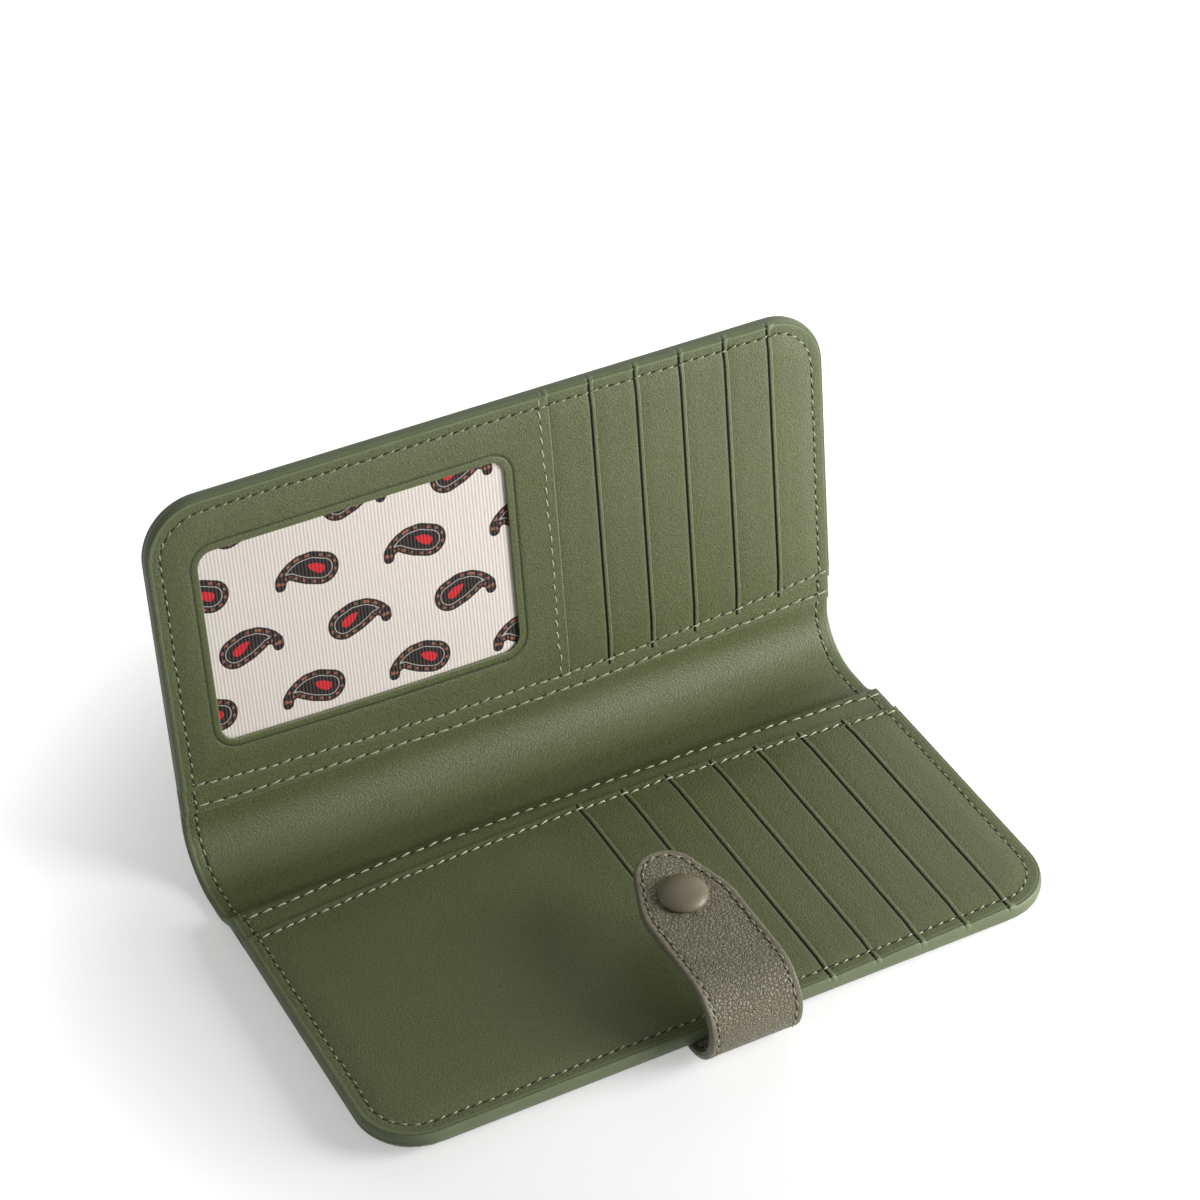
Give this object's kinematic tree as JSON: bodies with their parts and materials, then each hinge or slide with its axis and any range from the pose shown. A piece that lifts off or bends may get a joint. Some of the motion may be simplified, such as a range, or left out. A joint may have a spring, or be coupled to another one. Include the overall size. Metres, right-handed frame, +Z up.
{
  "type": "wallet",
  "caption": "Long bifold leather wallet standing open, with card slots, slip pockets, an identity window and a snap tab.",
  "frame": {"origin": "on the floor under the middle of the box of the open wallet", "axes": "+X along the long side to the right when looking at the inside, +Y to the back where the upper cover stands, +Z up"},
  "size_m": [0.178, 0.1334, 0.1003],
  "materials": {
    "inner_leather": "olive smooth leather with a fine grain, satin",
    "outer_leather": "taupe pebbled leather, satin, green painted edges",
    "tab_leather": "taupe pebbled leather, satin, green painted edges",
    "printed_cloth": null,
    "lining_cloth": "plain cream cotton",
    "board": "grey cellulose board, uncoated",
    "snap_cap": "taupe-olive lacquered brass cap, satin",
    "snap_brass": "antique brass, satin"
  },
  "bodies": {
    "lower_cover": {"lower_outer_leather": "outer_leather", "lower_stiffening_board": "board", "lower_lining": "inner_leather", "lower_slip_pocket": "inner_leather", "lower_backing_cloth": "lining_cloth", "lower_plain_panel": "inner_leather", "lower_card_strip_1": "inner_leather", "lower_card_strip_2": "inner_leather", "lower_card_strip_3": "inner_leather", "lower_card_strip_4": "inner_leather", "lower_card_strip_5": "inner_leather", "lower_card_strip_6": "inner_leather", "lower_card_base": "inner_leather", "tab_root_leather": "tab_leather", "tab_root_lining": "tab_leather"},
    "spine": {"spine_outer_leather": "outer_leather", "spine_lining": "inner_leather"},
    "upper_cover": {"upper_outer_leather": "outer_leather", "upper_stiffening_board": "board", "upper_lining": "inner_leather", "upper_slip_pocket": "inner_leather", "upper_backing_cloth": "printed_cloth", "window_panel": "inner_leather", "upper_card_strip_1": "inner_leather", "upper_card_strip_2": "inner_leather", "upper_card_strip_3": "inner_leather", "upper_card_strip_4": "inner_leather", "upper_card_strip_5": "inner_leather", "upper_card_base": "inner_leather", "snap_stud": "snap_brass", "snap_stud_rivet": "snap_brass"},
    "tab": {"tab_outer_leather": "tab_leather", "tab_lining": "tab_leather", "snap_cap": "snap_cap", "snap_socket": "snap_brass"}
  },
  "joints": [
    {"name": "lower_fold", "type": "hinge", "parent": "lower_cover", "child": "spine", "pos_m": [0, 0.03498, 0.00112], "axis": [1, 0, 0], "range_deg": [0, 52]},
    {"name": "upper_fold", "type": "hinge", "parent": "spine", "child": "upper_cover", "pos_m": [0, 0.05356, 0.0138], "axis": [1, 0, 0], "range_deg": [-82, 39]},
    {"name": "tab_flex", "type": "hinge", "parent": "lower_cover", "child": "tab", "pos_m": [0, -0.0657, 0.011], "axis": [1, 0, 0], "range_deg": [-12, 110]}
  ]
}
